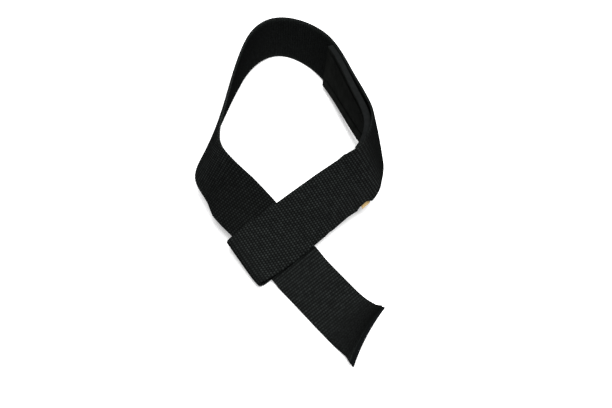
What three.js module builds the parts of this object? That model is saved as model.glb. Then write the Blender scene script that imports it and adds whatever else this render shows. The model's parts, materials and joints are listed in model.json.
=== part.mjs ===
// A weightlifting strap lying on a floor: one length of webbing whose end is folded back and sewn into an
// eye. The strap passes through its own eye, which closes the wrist loop, and comes out as the tail.
// Millimetres, +Z up. The loop opens towards +Y and the tail runs towards -Y.

import * as THREE from "three";
import { NURBSCurve } from "three/addons/curves/NURBSCurve.js";

// Webbing
const STRAP_WIDTH = 38;
const STRAP_THICK = 2;

// Air left between two pieces or layers that are sewn or pressed together
const SEAM_GAP = 0.3;

// Wrist loop, measured on the floor from the point where the strap crosses itself
const LOOP_LENGTH = 180;
const LOOP_WIDTH = 112;

// Tail, from the crossing to the free end on the floor, and the way it heads, in degrees from +X
const TAIL_REACH = 87;
const TAIL_HEADING = -48.6;

// Eye, from the crossing to the fold on the floor, past the edge of the strap that it holds
const EYE_PLAY = 1;
const EYE_SLACK = 3;
const EYE_HEADING = 216;

// Eye from the fold to the seam, the sewn double layer behind it, and the stretch over which the layers part
const EYE_LENGTH = 58;
const SEWN_LENGTH = 35;
const PARTING_LENGTH = 14;

// How far the under layer is sewn on below the top one, and the stretch of the eye over which it gets there
const LAYER_SLIP = 1.7;
const SLIP_LENGTH = 30;

// Wrist pad on the inside of the loop
const PAD_LENGTH = 112;
const PAD_MARGIN = 1.8;
const PAD_THICK = 4.5;
const PAD_TO_RAW_END = 9;

// Tab sewn in between the two layers near the raw end, under the lower edge
const TAB_TO_RAW_END = 3;
const TAB_LENGTH = 6.5;
const TAB_TUCKED = 6;
const TAB_SHOWS = 3.3;
const TAB_THICK = 1;

// Free end, which its melting has spread, and the tail behind it, whose two edges have drawn in with use
const END_FLARE = 1.8;
const FLARE_LENGTH = 9;
const TAIL_DRAW_IN = 0.9;
const DRAW_IN_FADE = 40;

// Spacing of the sections that the solids are lofted through
const SECTION_STEP = 4;
const FOLD_STEPS = 8;
const STATIONS = [-1, -0.5, 0, 0.5, 1];

const LAYER_PITCH = STRAP_THICK + SEAM_GAP;
const EYE_REACH = STRAP_WIDTH / 2 + EYE_PLAY;
const EYE_OPEN = 2 * LAYER_PITCH + EYE_SLACK;
const DOUBLE_LENGTH = EYE_LENGTH + SEWN_LENGTH;

// The tables give the middle of the strap, from the free end to the eye, as control points of a smooth curve.
// The strap's lower edge is the one nearer the floor. The width direction, from the lower edge to the upper
// one, has a level part and a rise from the floor in degrees. In the tail and the eye, turn is the level
// part's angle from square to the strap. In the loop, heading is its angle from +X round to +Y. layer counts
// the layers underneath. up and crown are shares of STRAP_WIDTH, and crown is how far the middle of the
// width stands proud of its edges.

// along is a share of TAIL_REACH, and aside of STRAP_WIDTH
const TAIL = [
  { at: "free end", along: 1.03, aside: -0.01, up: 0.4, layer: 0, turn: 20, rise: 22, crown: 0.045 },
  { at: "curl", along: 0.96, aside: 0.06, up: 0.19, layer: 0, turn: 12, rise: 17, crown: 0.026 },
  { at: "foot of the curl", along: 0.86, aside: 0.08, up: 0.07, layer: 0, turn: 4, rise: 8, crown: 0.011 },
  { at: "laid, outer end", along: 0.76, aside: 0.08, up: 0, layer: 0, turn: 0, rise: 0, crown: 0 },
  { at: "laid", along: 0.64, aside: 0.08, up: 0, layer: 0, turn: 0, rise: 0, crown: 0 },
  { at: "laid, middle", along: 0.52, aside: 0.08, up: 0, layer: 0, turn: 0, rise: 0, crown: 0 },
  { at: "laid, inner end", along: 0.4, aside: 0.08, up: 0, layer: 0, turn: 0, rise: 0, crown: 0 },
  { at: "before the eye", along: 0.29, aside: 0.08, up: 0, layer: 0, turn: 0, rise: 0, crown: 0 },
  { at: "into the eye", along: 0.17, aside: 0.075, up: 0.06, layer: 1, turn: 0, rise: 5, crown: 0 },
];

// x is a share of LOOP_WIDTH and y of LOOP_LENGTH, both from the crossing
const LOOP = [
  { at: "crossing", x: 0, y: 0, up: 0.26, layer: 1, heading: 38, rise: 14 },
  { at: "leg", x: -0.108, y: 0.062, up: 0.5, layer: 0, heading: 33, rise: 25 },
  { at: "leg, upper", x: -0.225, y: 0.132, up: 0.69, layer: 0, heading: 26, rise: 36 },
  { at: "left turn, near", x: -0.331, y: 0.209, up: 0.83, layer: 0, heading: 11, rise: 53 },
  { at: "left turn", x: -0.427, y: 0.293, up: 0.83, layer: 0, heading: 6, rise: 60 },
  { at: "left side", x: -0.363, y: 0.442, up: 0.76, layer: 0, heading: 9, rise: 71 },
  { at: "left side, far", x: -0.299, y: 0.651, up: 0.68, layer: 0, heading: 20, rise: 77 },
  { at: "far turn, left", x: -0.217, y: 0.87, up: 0.59, layer: 0, heading: 36, rise: 80 },
  { at: "far turn", x: -0.092, y: 0.987, up: 0.495, layer: 0, heading: 54, rise: 87 },
  { at: "far turn, middle", x: 0.07, y: 1.006, up: 0.465, layer: 0, heading: 55, rise: 85 },
  { at: "far turn, right", x: 0.284, y: 0.925, up: 0.47, layer: 0, heading: 52, rise: 77 },
  { at: "right side, far", x: 0.403, y: 0.781, up: 0.55, layer: 0, heading: 49, rise: 80 },
  { at: "right side", x: 0.48, y: 0.628, up: 0.68, layer: 0, heading: 52, rise: 83 },
  { at: "right side, near", x: 0.572, y: 0.485, up: 0.77, layer: 0, heading: 97, rise: 80 },
  { at: "right turn, far", x: 0.65, y: 0.372, up: 0.98, layer: 0, heading: 148, rise: 73 },
  { at: "right turn", x: 0.576, y: 0.217, up: 1, layer: 0, heading: 143, rise: 68 },
  { at: "right turn, near", x: 0.465, y: 0.196, up: 0.82, layer: 0, heading: 143, rise: 53 },
];

// along is a share of EYE_REACH past the crossing, and aside of STRAP_WIDTH
const EYE = [
  { at: "sewn part", along: -1, aside: 0.06, up: 0.5, layer: 1, turn: 14, rise: 43 },
  { at: "sewn part, middle", along: -0.33, aside: 0.04, up: 0.32, layer: 2, turn: 11, rise: 29 },
  { at: "over the strap", along: 0.33, aside: 0.02, up: 0.23, layer: 2, turn: 7, rise: 19 },
  { at: "fold", along: 1.01, aside: 0.01, up: 0.175, layer: 2, turn: 5, rise: 10 },
];

const UP = new THREE.Vector3(0, 0, 1);

// A level direction from its heading
function level(heading) {
  return new THREE.Vector3(1, 0, 0).applyAxisAngle(UP, THREE.MathUtils.degToRad(heading));
}

// A control point: its place, the strap's width direction there, and its crown
function control({ up, layer, rise, crown = 0 }, place, heading) {
  const centre = place.clone().setZ(STRAP_THICK / 2 + up * STRAP_WIDTH + layer * LAYER_PITCH);
  const angle = THREE.MathUtils.degToRad(rise);
  const across = level(heading).multiplyScalar(Math.cos(angle)).addScaledVector(UP, Math.sin(angle));
  return { centre, across, crown: crown * STRAP_WIDTH };
}

// A row of the tail or the eye, which run straight out from the crossing. side is +1 where the width
// direction is to the left of the way out, and -1 where it is to the right.
function straightRow(row, heading, reach, side) {
  const place = level(heading)
    .multiplyScalar(row.along * reach)
    .addScaledVector(level(heading + 90), row.aside * STRAP_WIDTH);
  return control(row, place, heading + side * 90 + row.turn);
}

function loopRow(row) {
  return control(row, new THREE.Vector3(row.x * LOOP_WIDTH, row.y * LOOP_LENGTH, 0), row.heading);
}

const controls = [
  ...TAIL.map((row) => straightRow(row, TAIL_HEADING, TAIL_REACH, 1)),
  ...LOOP.map(loopRow),
  ...EYE.map((row) => straightRow(row, EYE_HEADING, EYE_REACH, -1)),
];

// A cubic curve that starts at the first control point and ends at the last
function smooth(vectors) {
  const degree = 3;
  const last = vectors.length - degree;
  const knots = vectors.map((_, i) => Math.max(0, i - degree)).concat(Array(degree + 1).fill(last));
  return new NURBSCurve(degree, knots, vectors.map((v) => new THREE.Vector4(v.x, v.y, v.z, 1)));
}

const middle = smooth(controls.map((c) => c.centre));
const widthways = smooth(controls.map((c) => c.across));
const crowning = smooth(controls.map((c) => new THREE.Vector3(c.crown, 0, 0)));
middle.arcLengthDivisions = 2000;
const length = middle.getLength();

// How much wider the strap is at each edge than STRAP_WIDTH gives, at a distance from its free end
function edgeSpread(distance) {
  const melted = 1 - THREE.MathUtils.smoothstep(distance, 0, FLARE_LENGTH);
  const fade = DRAW_IN_FADE / 2;
  const drawn = 1 - THREE.MathUtils.smoothstep(distance, TAIL_REACH - fade, TAIL_REACH + fade);
  return END_FLARE * melted - TAIL_DRAW_IN * drawn;
}

// The strap's section at a distance from its free end: its middle, and its ways along, across and outward
function sectionAt(distance) {
  const t = middle.getUtoTmapping(distance / length);
  const centre = middle.getPoint(t);
  const along = middle.getTangent(t);
  const across = widthways.getPoint(t);
  across.addScaledVector(along, -across.dot(along)).normalize();
  const out = across.clone().cross(along);
  return { centre, along, across, out, crown: crowning.getPoint(t).x, spread: edgeSpread(distance) };
}

// The same section moved along its outward way and its way across, and turned over when flip is -1
function shifted(section, offset, aside = 0, flip = 1) {
  const { centre, across, out } = section;
  return {
    ...section,
    centre: centre.clone().addScaledVector(out, offset).addScaledVector(across, aside),
    out: section.out.clone().multiplyScalar(flip),
    along: section.along.clone().multiplyScalar(flip),
    crown: section.crown * flip,
  };
}

// Evenly spaced distances from one place to another, about one section step apart
function spaced(from, to) {
  const count = Math.max(1, Math.round(Math.abs(to - from) / SECTION_STEP));
  return Array.from({ length: count + 1 }, (_, i) => THREE.MathUtils.lerp(from, to, i / count));
}

// A closed solid lofted through sections. from and to bound it across the strap, measured from the middle.
function loft(sections, from, to, thick) {
  const positions = [];
  const indices = [];
  const ring = STATIONS.length * 2;
  for (const { centre, across, out, crown, spread } of sections) {
    const point = (station, side) => {
      const aside = (from + to) / 2 + station * ((to - from) / 2 + spread);
      const share = aside / (STRAP_WIDTH / 2);
      const lift = crown * (1 - share * share) + (side * thick) / 2;
      const p = centre.clone().addScaledVector(across, aside).addScaledVector(out, lift);
      positions.push(p.x, p.y, p.z);
    };
    STATIONS.forEach((station) => point(station, 1));
    [...STATIONS].reverse().forEach((station) => point(station, -1));
  }
  const quad = (a, b, c, d) => indices.push(a, b, c, a, c, d);
  for (let i = 0; i + 1 < sections.length; i++) {
    for (let j = 0; j < ring; j++) {
      const next = (j + 1) % ring;
      quad(i * ring + j, i * ring + next, (i + 1) * ring + next, (i + 1) * ring + j);
    }
  }
  const end = (sections.length - 1) * ring;
  for (let j = 0; j + 1 < STATIONS.length; j++) {
    const under = ring - 1 - j;
    quad(j, under, under - 1, j + 1);
    quad(end + j, end + j + 1, end + under - 1, end + under);
  }
  const geometry = new THREE.BufferGeometry();
  geometry.setAttribute("position", new THREE.Float32BufferAttribute(positions, 3));
  geometry.setIndex(indices);
  geometry.computeVertexNormals();
  return geometry;
}

// How far the under layer's middle lies beneath the top layer's, at a distance back from the fold.
// The layers part at the eye, and again at the raw end, round the tab.
function layerDrop(back) {
  const shut = THREE.MathUtils.smoothstep(back, EYE_LENGTH - PARTING_LENGTH, EYE_LENGTH);
  const tabStart = DOUBLE_LENGTH - TAB_TO_RAW_END - TAB_LENGTH;
  const lifted = THREE.MathUtils.smoothstep(back, tabStart - PARTING_LENGTH, tabStart);
  return THREE.MathUtils.lerp(EYE_OPEN, LAYER_PITCH, shut) + lifted * (TAB_THICK + SEAM_GAP);
}

// How far the under layer lies below the top one across the strap. Its raw end, past the last stitches,
// springs back.
function layerSlip(back) {
  const meeting = EYE_LENGTH - PARTING_LENGTH;
  const slipped = THREE.MathUtils.smoothstep(back, meeting - SLIP_LENGTH, meeting);
  const sprung = THREE.MathUtils.smoothstep(back, DOUBLE_LENGTH - PARTING_LENGTH, DOUBLE_LENGTH);
  return LAYER_SLIP * slipped * (1 - sprung);
}

function underSection(back) {
  return shifted(sectionAt(length - back), -layerDrop(back), -layerSlip(back), -1);
}

// The half circle that turns the top layer over into the under layer
function foldSections(section) {
  const radius = EYE_OPEN / 2;
  const pivot = section.centre.clone().addScaledVector(section.out, -radius);
  return Array.from({ length: FOLD_STEPS - 1 }, (_, i) => {
    const angle = (Math.PI * (i + 1)) / FOLD_STEPS;
    const out = section.out.clone().applyAxisAngle(section.across, -angle);
    return { ...section, centre: pivot.clone().addScaledVector(out, radius), out };
  });
}

function webbing() {
  const top = spaced(0, length).map(sectionAt);
  const under = spaced(0, DOUBLE_LENGTH).map(underSection);
  const sections = [...top, ...foldSections(sectionAt(length)), ...under];
  return loft(sections, -STRAP_WIDTH / 2, STRAP_WIDTH / 2, STRAP_THICK);
}

// Where the under layer ends, measured from the strap's free end
const rawEnd = length - DOUBLE_LENGTH;

// Sections of a piece that is sewn to the inside of the strap
function inside(from, to, thick) {
  const drop = STRAP_THICK / 2 + SEAM_GAP + thick / 2;
  return spaced(from, to).map((distance) => shifted(sectionAt(distance), -drop));
}

function wristPad() {
  const side = STRAP_WIDTH / 2 - PAD_MARGIN;
  const near = rawEnd - PAD_TO_RAW_END;
  return loft(inside(near - PAD_LENGTH, near, PAD_THICK), -side, side, PAD_THICK);
}

function sideTab() {
  const edge = -STRAP_WIDTH / 2;
  const near = rawEnd + TAB_TO_RAW_END;
  const sections = inside(near, near + TAB_LENGTH, TAB_THICK);
  return loft(sections, edge - TAB_SHOWS, edge + TAB_TUCKED, TAB_THICK);
}

function piece(name, geometry, color, roughness) {
  const material = new THREE.MeshStandardMaterial({ color, roughness, metalness: 0 });
  const mesh = new THREE.Mesh(geometry, material);
  mesh.name = name;
  return mesh;
}

const strap = new THREE.Group();
strap.add(piece("strap_webbing", webbing(), "#191b1b", 0.9));
strap.add(piece("wrist_pad", wristPad(), "#161717", 0.95));
strap.add(piece("side_tab", sideTab(), "#c8aa6e", 0.8));

// The origin is on the floor, under the middle of the strap
const box = new THREE.Box3().setFromObject(strap);
const floorPoint = box.getCenter(new THREE.Vector3()).setZ(box.min.z);
strap.position.sub(floorPoint);

export default strap;
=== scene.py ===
import json
import math
from collections import namedtuple

import bmesh
import bpy
import numpy as np
from bpy.props import FloatProperty, FloatVectorProperty, IntProperty, PointerProperty
from mathutils import Matrix, Vector

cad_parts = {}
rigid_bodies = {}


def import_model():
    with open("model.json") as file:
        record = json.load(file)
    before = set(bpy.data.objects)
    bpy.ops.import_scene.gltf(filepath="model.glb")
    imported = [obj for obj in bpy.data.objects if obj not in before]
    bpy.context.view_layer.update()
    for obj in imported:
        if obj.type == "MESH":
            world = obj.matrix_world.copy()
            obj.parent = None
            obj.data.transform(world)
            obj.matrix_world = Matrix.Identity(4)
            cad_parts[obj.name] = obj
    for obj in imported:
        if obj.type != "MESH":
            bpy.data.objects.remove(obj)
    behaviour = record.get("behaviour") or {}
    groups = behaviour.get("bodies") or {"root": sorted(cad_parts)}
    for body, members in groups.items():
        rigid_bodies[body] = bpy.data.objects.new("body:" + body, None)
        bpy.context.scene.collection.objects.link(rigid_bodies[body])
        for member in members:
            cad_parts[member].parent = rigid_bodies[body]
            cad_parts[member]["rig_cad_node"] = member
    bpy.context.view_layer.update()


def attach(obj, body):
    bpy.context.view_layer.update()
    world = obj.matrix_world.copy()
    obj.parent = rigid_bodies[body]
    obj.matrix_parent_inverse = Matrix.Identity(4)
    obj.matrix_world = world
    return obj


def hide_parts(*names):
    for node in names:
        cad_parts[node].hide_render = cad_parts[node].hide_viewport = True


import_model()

bl_info = {
    "name": "Weightlifting strap",
    "version": (1, 0, 0),
    "blender": (4, 5, 0),
    "location": "View3D > Sidebar > Strap",
    "description": "Weaves, folds, sews and lights a webbing lifting strap with a padded wrist loop",
    "category": "Object",
}

MM = 0.001


# The strap's own sizes in millimetres and degrees, and the tables of its course. The solids are made from
# the same ones.

STRAP_WIDTH = 38
STRAP_THICK = 2
SEAM_GAP = 0.3
LOOP_LENGTH = 180
LOOP_WIDTH = 112
TAIL_REACH = 87
TAIL_HEADING = -48.6
EYE_PLAY = 1
EYE_SLACK = 3
EYE_HEADING = 216
EYE_LENGTH = 58
SEWN_LENGTH = 35
PARTING_LENGTH = 14
LAYER_SLIP = 1.7
SLIP_LENGTH = 30
PAD_LENGTH = 112
PAD_MARGIN = 1.8
PAD_THICK = 4.5
PAD_TO_RAW_END = 9
TAB_TO_RAW_END = 3
TAB_LENGTH = 6.5
TAB_TUCKED = 6
TAB_SHOWS = 3.3
TAB_THICK = 1
END_FLARE = 1.8
FLARE_LENGTH = 9
TAIL_DRAW_IN = 0.9
DRAW_IN_FADE = 40

LAYER_PITCH = STRAP_THICK + SEAM_GAP
EYE_REACH = STRAP_WIDTH / 2 + EYE_PLAY
EYE_OPEN = 2 * LAYER_PITCH + EYE_SLACK
DOUBLE_LENGTH = EYE_LENGTH + SEWN_LENGTH

# The fold of the eye as a share of its half circle: how far it reaches out, and how much less at its lower
# corner
FOLD_REACH = 1.05
FOLD_PINCH = 0.25

# Where the strap crosses itself, from the part's origin
CROSSING = (-10.2737, -49.3018, 0.1538)

# along and aside are shares of the reach and of the strap's width, up and crown of its width. turn, heading
# and rise are degrees, and layer counts the layers underneath.
Straight = namedtuple("Straight", "along aside up layer turn rise crown", defaults=(0,))
Turning = namedtuple("Turning", "x y up layer heading rise")

TAIL = {
    "free end": Straight(1.03, -0.01, 0.4, 0, 20, 22, 0.045),
    "curl": Straight(0.96, 0.06, 0.19, 0, 12, 17, 0.026),
    "foot of the curl": Straight(0.86, 0.08, 0.07, 0, 4, 8, 0.011),
    "laid, outer end": Straight(0.76, 0.08, 0, 0, 0, 0),
    "laid": Straight(0.64, 0.08, 0, 0, 0, 0),
    "laid, middle": Straight(0.52, 0.08, 0, 0, 0, 0),
    "laid, inner end": Straight(0.4, 0.08, 0, 0, 0, 0),
    "before the eye": Straight(0.29, 0.08, 0, 0, 0, 0),
    "into the eye": Straight(0.17, 0.075, 0.06, 1, 0, 5),
}
LOOP = {
    "crossing": Turning(0, 0, 0.26, 1, 38, 14),
    "leg": Turning(-0.108, 0.062, 0.5, 0, 33, 25),
    "leg, upper": Turning(-0.225, 0.132, 0.69, 0, 26, 36),
    "left turn, near": Turning(-0.331, 0.209, 0.83, 0, 11, 53),
    "left turn": Turning(-0.427, 0.293, 0.83, 0, 6, 60),
    "left side": Turning(-0.363, 0.442, 0.76, 0, 9, 71),
    "left side, far": Turning(-0.299, 0.651, 0.68, 0, 20, 77),
    "far turn, left": Turning(-0.217, 0.87, 0.59, 0, 36, 80),
    "far turn": Turning(-0.092, 0.987, 0.495, 0, 54, 87),
    "far turn, middle": Turning(0.07, 1.006, 0.465, 0, 55, 85),
    "far turn, right": Turning(0.284, 0.925, 0.47, 0, 52, 77),
    "right side, far": Turning(0.403, 0.781, 0.55, 0, 49, 80),
    "right side": Turning(0.48, 0.628, 0.68, 0, 52, 83),
    "right side, near": Turning(0.572, 0.485, 0.77, 0, 97, 80),
    "right turn, far": Turning(0.65, 0.372, 0.98, 0, 148, 73),
    "right turn": Turning(0.576, 0.217, 1, 0, 143, 68),
    "right turn, near": Turning(0.465, 0.196, 0.82, 0, 143, 53),
}
EYE = {
    "sewn part": Straight(-1, 0.06, 0.5, 1, 14, 43),
    "sewn part, middle": Straight(-0.33, 0.04, 0.32, 2, 11, 29),
    "over the strap": Straight(0.33, 0.02, 0.23, 2, 7, 19),
    "fold": Straight(1.01, 0.01, 0.175, 2, 5, 10),
}


def level(heading):
    """A level direction from its heading."""
    angle = math.radians(heading)
    return np.array([math.cos(angle), math.sin(angle), 0.0])


def control(row, place, heading, crown=0.0):
    """A control point: its place, the strap's width direction there, and its crown."""
    height = STRAP_THICK / 2 + row.up * STRAP_WIDTH + row.layer * LAYER_PITCH
    rise = math.radians(row.rise)
    across = level(heading) * math.cos(rise) + np.array([0, 0, math.sin(rise)])
    return np.concatenate([place + [0, 0, height], across, [crown * STRAP_WIDTH]])


def straight_row(row, heading, reach, side):
    """A row of the tail or the eye, which run straight out from the crossing."""
    place = level(heading) * row.along * reach + level(heading + 90) * row.aside * STRAP_WIDTH
    return control(row, place, heading + side * 90 + row.turn, row.crown)


def loop_row(row):
    return control(row, np.array([row.x * LOOP_WIDTH, row.y * LOOP_LENGTH, 0.0]), row.heading)


def curve_weights(count, samples):
    """The share that each control point has in each sample of a smooth curve from the first to the last."""
    last = count - 3
    knots = np.concatenate([np.zeros(3), np.arange(last + 1), np.full(3, last)])
    at = np.minimum(np.linspace(0, last, samples), last - 1e-9)
    share = ((knots[:-1, None] <= at) & (at < knots[1:, None])).astype(float)
    for degree in (1, 2, 3):
        wider = np.zeros((len(share) - 1, samples))
        for i in range(len(wider)):
            rise = knots[i + degree] - knots[i]
            fall = knots[i + degree + 1] - knots[i + 1]
            if rise > 0:
                wider[i] += (at - knots[i]) / rise * share[i]
            if fall > 0:
                wider[i] += (knots[i + degree + 1] - at) / fall * share[i + 1]
        share = wider
    return share.T


def unit(vectors):
    return vectors / np.linalg.norm(vectors, axis=-1, keepdims=True)


def smoothstep(value, low, high):
    share = np.clip((np.asarray(value, float) - low) / (high - low), 0, 1)
    return share * share * (3 - 2 * share)


def layer_drop(back):
    """How far the under layer's middle lies beneath the top layer's, at a distance back from the fold."""
    shut = smoothstep(back, EYE_LENGTH - PARTING_LENGTH, EYE_LENGTH)
    tab_start = DOUBLE_LENGTH - TAB_TO_RAW_END - TAB_LENGTH
    lifted = smoothstep(back, tab_start - PARTING_LENGTH, tab_start)
    return EYE_OPEN + (LAYER_PITCH - EYE_OPEN) * shut + lifted * (TAB_THICK + SEAM_GAP)


def layer_slip(back):
    """How far the under layer lies below the top one across the strap."""
    meeting = EYE_LENGTH - PARTING_LENGTH
    slipped = smoothstep(back, meeting - SLIP_LENGTH, meeting)
    sprung = smoothstep(back, DOUBLE_LENGTH - PARTING_LENGTH, DOUBLE_LENGTH)
    return LAYER_SLIP * slipped * (1 - sprung)


def edge_spread(run):
    """How much wider the strap is at each edge than its nominal width."""
    melted = 1 - smoothstep(run, 0, FLARE_LENGTH)
    drawn = 1 - smoothstep(run, TAIL_REACH - DRAW_IN_FADE / 2, TAIL_REACH + DRAW_IN_FADE / 2)
    return END_FLARE * melted - TAIL_DRAW_IN * drawn


class Course:
    """The way that the strap takes, from its free end through the loop and the eye to its raw end."""

    SAMPLES = 4001

    def __init__(self):
        rows = [straight_row(row, TAIL_HEADING, TAIL_REACH, 1) for row in TAIL.values()]
        rows += [loop_row(row) for row in LOOP.values()]
        rows += [straight_row(row, EYE_HEADING, EYE_REACH, -1) for row in EYE.values()]
        drawn = curve_weights(len(rows), self.SAMPLES) @ np.array(rows)
        self.centre = drawn[:, :3] + CROSSING
        steps = np.linalg.norm(np.diff(self.centre, axis=0), axis=1)
        self.distance = np.concatenate([[0], np.cumsum(steps)])
        self.length = self.distance[-1]
        self.along = unit(np.gradient(self.centre, self.distance, axis=0))
        level_out = (drawn[:, 3:6] * self.along).sum(1, keepdims=True)
        self.across = unit(drawn[:, 3:6] - self.along * level_out)
        self.crown = drawn[:, 6]
        self.fold_radius = EYE_OPEN / 2
        self.fold_length = math.pi * self.fold_radius
        self.cut_length = self.length + self.fold_length + DOUBLE_LENGTH
        self.raw_end = self.length - DOUBLE_LENGTH

    def pick(self, values, distance):
        return np.stack([np.interp(distance, self.distance, part) for part in values.T], -1)

    def section(self, distance):
        """The strap's middle, its ways along, across and out of the loop, and its crown, at distances from
        its free end."""
        centre = self.pick(self.centre, distance)
        along = unit(self.pick(self.along, distance))
        across = unit(self.pick(self.across, distance))
        return centre, along, across, np.cross(across, along), np.interp(distance, self.distance, self.crown)

    def back(self, run):
        """The distance back from the fold, on the top layer or on the under one."""
        return np.where(run < self.length, self.length - run, run - self.length - self.fold_length)

    def from_end(self, run):
        """The distance from the nearer one of the two cut ends."""
        return np.minimum(run, self.cut_length - run)

    def lay(self, run, aside, lift):
        """Where a point of the flat webbing comes to lie. run is its distance from the free end along the
        whole cut, through the fold and back under. aside is from the middle of the width, and lift from
        the middle of the thickness, towards the face that is outside in the loop."""
        past_fold = run - self.length - self.fold_length
        back = np.clip(past_fold, 0, None)
        turned = past_fold > 0
        centre, along, across, out, crown = self.section(np.where(turned, self.length - back, run))
        lift = lift + np.where(turned, -crown, crown) * (1 - (aside / (STRAP_WIDTH / 2)) ** 2)
        angle = np.clip((run - self.length) / self.fold_radius, 0, math.pi)[:, None]
        pivot = centre - out * self.fold_radius
        reach = FOLD_REACH - FOLD_PINCH * np.clip(-aside / (STRAP_WIDTH / 2), 0, 1)[:, None] ** 4
        folded = out * np.cos(angle) + along * np.sin(angle) * reach
        under = centre - out * layer_drop(back)[:, None]
        middle = np.where(turned[:, None], under, pivot + folded * self.fold_radius)
        middle = middle + along * np.minimum(run, 0)[:, None]
        aside = aside - np.where(turned, layer_slip(back), 0)
        return middle + across * aside[:, None] + folded * lift[:, None]


COURSE = Course()


# Making


def linear(code):
    """An sRGB hex colour as the linear colour that Blender's sockets take."""
    parts = [int(code[i : i + 2], 16) / 255 for i in (1, 3, 5)]
    bright = [c / 12.92 if c <= 0.04045 else ((c + 0.055) / 1.055) ** 2.4 for c in parts]
    return (*bright, 1.0)


def finished(bm, name, materials):
    """Turns a bmesh in metres into an object at the origin that rides on the strap's one body."""
    bmesh.ops.recalc_face_normals(bm, faces=bm.faces)
    # A thin bent piece can come out of that inside out
    if all(edge.is_manifold for edge in bm.edges) and bm.calc_volume(signed=True) < 0:
        bmesh.ops.reverse_faces(bm, faces=bm.faces)
    mesh = bpy.data.meshes.new(name)
    bm.to_mesh(mesh)
    bm.free()
    mesh.shade_smooth()
    for material in materials:
        mesh.materials.append(material)
    piece = bpy.data.objects.new(name, mesh)
    bpy.context.scene.collection.objects.link(piece)
    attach(piece, "root")
    return piece


def drop_old(name):
    """Removes an earlier copy, so that a button can be pressed again."""
    old = bpy.data.objects.get(name)
    if old and "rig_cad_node" not in old:
        bpy.data.objects.remove(old)


def vertex_array(bm):
    return np.array([v.co for v in bm.verts])


def place_vertices(bm, points):
    for vertex, point in zip(bm.verts, points):
        vertex.co = point


def cut_out(length, width, thick, cells, rounding):
    """A flat piece cut from a sheet, in millimetres, with a rounded rim."""
    bm = bmesh.new()
    bm.loops.layers.uv.new("cut")
    size = Matrix.Diagonal((length, width, 1, 1))
    bmesh.ops.create_grid(bm, x_segments=cells[0], y_segments=cells[1], size=0.5, matrix=size)
    bmesh.ops.solidify(bm, geom=bm.faces[:], thickness=thick)
    rim = [e for e in bm.edges if len(e.link_faces) == 2 and e.calc_face_angle(0) > 1]
    bmesh.ops.bevel(bm, geom=rim, offset=rounding, segments=2, profile=0.5, affect="EDGES", material=-1)
    return bm


def map_cut(bm):
    """Maps a cut piece by its place on the flat sheet, in metres."""
    uv = bm.loops.layers.uv["cut"]
    for face in bm.faces:
        for loop in face.loops:
            loop[uv].uv = loop.vert.co.xy * MM


# Materials


def add(tree, kind, inputs=(), **settings):
    """Adds a node with its settings, and fills its inputs, each from a node, a node's output or a value."""
    node = tree.nodes.new(kind)
    for name, value in settings.items():
        setattr(node, name, value)
    pairs = inputs.items() if isinstance(inputs, dict) else enumerate(inputs)
    for key, source in pairs:
        if isinstance(source, bpy.types.Node):
            source = source.outputs[0]
        if isinstance(source, bpy.types.NodeSocket):
            tree.links.new(source, node.inputs[key])
        else:
            node.inputs[key].default_value = source
    return node


def start_material(name):
    material = bpy.data.materials.get(name) or bpy.data.materials.new(name)
    material.use_nodes = True
    material.node_tree.nodes.clear()
    return material, material.node_tree


def per_metre(spacing):
    """How often a pattern repeats in a metre, from its spacing in millimetres."""
    return 1 / (spacing * MM)


def rib_count(props):
    """A whole number of ribs goes into the cut."""
    return round(COURSE.cut_length * MM / props.rib_pitch)


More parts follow.
